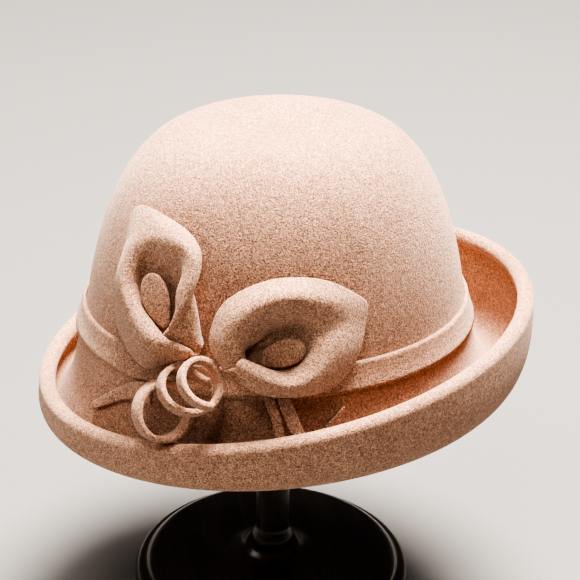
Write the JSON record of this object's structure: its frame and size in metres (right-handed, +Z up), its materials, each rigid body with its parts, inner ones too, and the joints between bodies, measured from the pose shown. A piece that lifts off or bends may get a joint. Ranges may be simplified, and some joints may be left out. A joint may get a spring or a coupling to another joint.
{
  "type": "cloche hat on a plain turned stand",
  "caption": "Felt cloche hat with a round crown, a rolled upturned brim, a band and a felt flower trim, resting on a round turned wooden stand.",
  "frame": {"origin": "centre of the stand's underside, on the table", "axes": "+Z up, -Y towards the hat's front, +X towards the wearer's left, where the trim is"},
  "size_m": [0.2242, 0.2591, 0.277],
  "materials": {
    "felt": "fuzzy camel wool felt",
    "dark_wood": "dark stain, satin lacquer"
  },
  "bodies": {
    "root": {"hat_body": "felt", "hat_band": "felt", "petal_left": "felt", "petal_right": "felt", "tongue_left": "felt", "tongue_right": "felt", "curl_upper": "felt", "curl_lower": "felt", "tail_strip": "felt", "strip_end_a": "felt", "strip_end_b": "felt", "strip_tip": "felt", "stand_base": "dark_wood", "stand_post": "dark_wood", "stand_cap": "dark_wood"}
  },
  "joints": []
}
